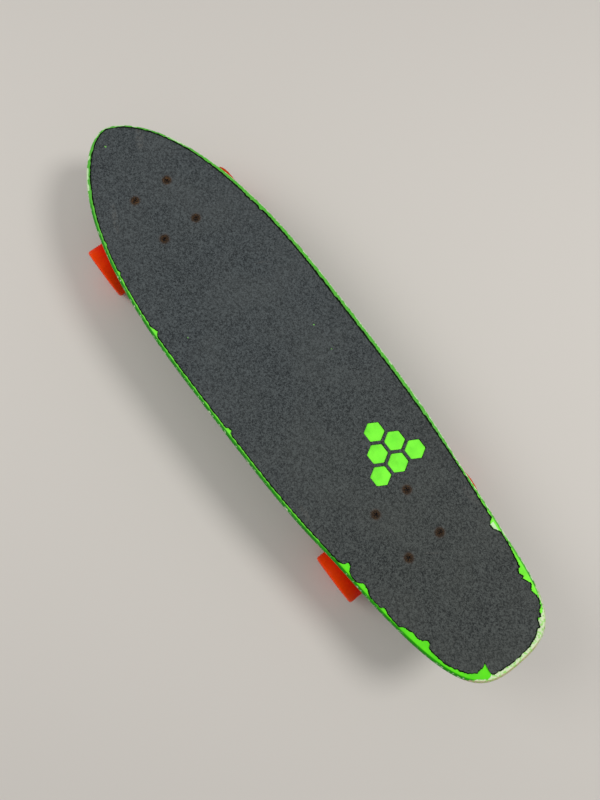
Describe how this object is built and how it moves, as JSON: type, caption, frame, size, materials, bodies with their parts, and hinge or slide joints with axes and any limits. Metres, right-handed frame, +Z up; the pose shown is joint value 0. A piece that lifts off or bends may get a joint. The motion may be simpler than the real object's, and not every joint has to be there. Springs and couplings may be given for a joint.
{
  "type": "cruiser skateboard",
  "caption": "Short cruiser skateboard with a kicked tail, grip sheet with hexagon windows, sprung steering trucks and wide soft wheels that roll.",
  "frame": {"origin": "on the ground under the middle of the deck's length and width, at the bottom centre of the bounding box", "axes": "+X to the nose, +Y to the rider's left, +Z up"},
  "size_m": [0.703, 0.1876, 0.1266],
  "materials": {
    "deck_paint": "bright green paint on seven plies of maple, chipped at the edge",
    "grip": "dark grey grit on a self-adhesive sheet, worn",
    "riser": "matt black",
    "cast_truck": "cast and tumbled, raw",
    "pivot_cup": "matt",
    "bushing": "satin cast urethane",
    "hardware": "zinc plated, slightly dull",
    "deck_bolts": "steel screws with rusty brown heads",
    "wheel": "orange-red cast urethane, satin",
    "bearing": "steel shields"
  },
  "bodies": {
    "board": {"deck": "deck_paint", "grip_tape": "grip", "riser_pad_front": "riser", "baseplate_front": "cast_truck", "pivot_cup_front": "pivot_cup", "kingpin_front": "hardware", "kingpin_nut_front": "hardware", "board_bushing_front": "bushing", "road_bushing_front": "bushing", "board_cup_washer_front": "hardware", "road_cup_washer_front": "hardware", "bolt_front_outer_left": "deck_bolts", "bolt_front_outer_right": "deck_bolts", "bolt_front_inner_left": "deck_bolts", "bolt_front_inner_right": "deck_bolts", "bolt_nut_front_outer_left": "hardware", "bolt_nut_front_outer_right": "hardware", "bolt_nut_front_inner_left": "hardware", "bolt_nut_front_inner_right": "hardware", "riser_pad_rear": "riser", "baseplate_rear": "cast_truck", "pivot_cup_rear": "pivot_cup", "kingpin_rear": "hardware", "kingpin_nut_rear": "hardware", "board_bushing_rear": "bushing", "road_bushing_rear": "bushing", "board_cup_washer_rear": "hardware", "road_cup_washer_rear": "hardware", "bolt_rear_outer_left": "deck_bolts", "bolt_rear_outer_right": "deck_bolts", "bolt_rear_inner_left": "deck_bolts", "bolt_rear_inner_right": "deck_bolts", "bolt_nut_rear_outer_left": "hardware", "bolt_nut_rear_outer_right": "hardware", "bolt_nut_rear_inner_left": "hardware", "bolt_nut_rear_inner_right": "hardware"},
    "hanger_front": {"hanger_front": "cast_truck", "axle_front": "hardware", "speed_washer_front_left": "hardware", "speed_washer_front_right": "hardware", "axle_nut_front_left": "hardware", "axle_nut_front_right": "hardware"},
    "hanger_rear": {"hanger_rear": "cast_truck", "axle_rear": "hardware", "speed_washer_rear_left": "hardware", "speed_washer_rear_right": "hardware", "axle_nut_rear_left": "hardware", "axle_nut_rear_right": "hardware"},
    "wheel_front_left": {"wheel_front_left": "wheel", "bearing_front_left_outer": "bearing", "bearing_front_left_inner": "bearing"},
    "wheel_front_right": {"wheel_front_right": "wheel", "bearing_front_right_outer": "bearing", "bearing_front_right_inner": "bearing"},
    "wheel_rear_left": {"wheel_rear_left": "wheel", "bearing_rear_left_outer": "bearing", "bearing_rear_left_inner": "bearing"},
    "wheel_rear_right": {"wheel_rear_right": "wheel", "bearing_rear_right_outer": "bearing", "bearing_rear_right_inner": "bearing"}
  },
  "joints": [
    {"name": "steer_front", "type": "hinge", "parent": "board", "child": "hanger_front", "pos_m": [0.2225, 0, 0.0525], "axis": [0.8944, 0, 0.4472], "range_deg": [-15, 15], "stiffness_Nm_per_rad": 60, "deforming": ["board_bushing_front", "road_bushing_front"]},
    {"name": "steer_rear", "type": "hinge", "parent": "board", "child": "hanger_rear", "pos_m": [-0.1775, 0, 0.0525], "axis": [-0.8944, 0, 0.4472], "range_deg": [-15, 15], "stiffness_Nm_per_rad": 60, "deforming": ["board_bushing_rear", "road_bushing_rear"]},
    {"name": "roll_front_left", "type": "hinge", "parent": "hanger_front", "child": "wheel_front_left", "pos_m": [0.2415, 0.0723, 0.03], "axis": [0, 1, 0], "continuous": true},
    {"name": "roll_front_right", "type": "hinge", "parent": "hanger_front", "child": "wheel_front_right", "pos_m": [0.2415, -0.0723, 0.03], "axis": [0, 1, 0], "continuous": true},
    {"name": "roll_rear_left", "type": "hinge", "parent": "hanger_rear", "child": "wheel_rear_left", "pos_m": [-0.1965, 0.0723, 0.03], "axis": [0, 1, 0], "continuous": true},
    {"name": "roll_rear_right", "type": "hinge", "parent": "hanger_rear", "child": "wheel_rear_right", "pos_m": [-0.1965, -0.0723, 0.03], "axis": [0, 1, 0], "continuous": true}
  ]
}
